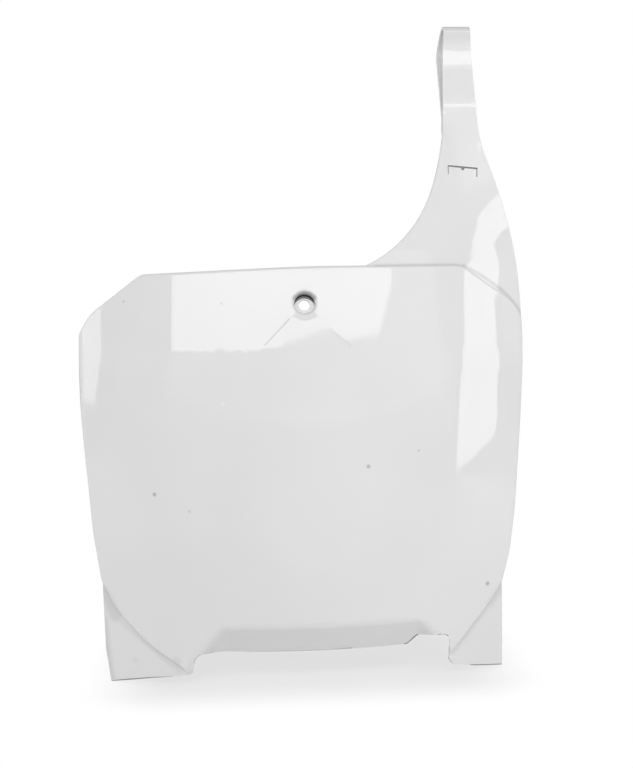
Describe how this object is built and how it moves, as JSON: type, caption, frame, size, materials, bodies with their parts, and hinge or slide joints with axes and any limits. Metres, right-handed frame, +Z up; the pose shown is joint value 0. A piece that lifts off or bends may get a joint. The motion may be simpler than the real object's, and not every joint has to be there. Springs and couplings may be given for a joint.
{
  "type": "racing number board",
  "caption": "Curved white front number board with a raised shield, two legs, a recessed bolt hole and an arm ending in a looped strap.",
  "frame": {"origin": "centre of the bolt hole's wall, behind the shield's recess", "axes": "+Z up when fitted, +X to the right seen from the front, front faces -Y"},
  "size_m": [0.2744, 0.0967, 0.3993],
  "materials": {
    "white_plastic": "gloss white moulded polypropylene with light wear"
  },
  "bodies": {
    "root": {"number_board": "white_plastic"}
  },
  "joints": []
}
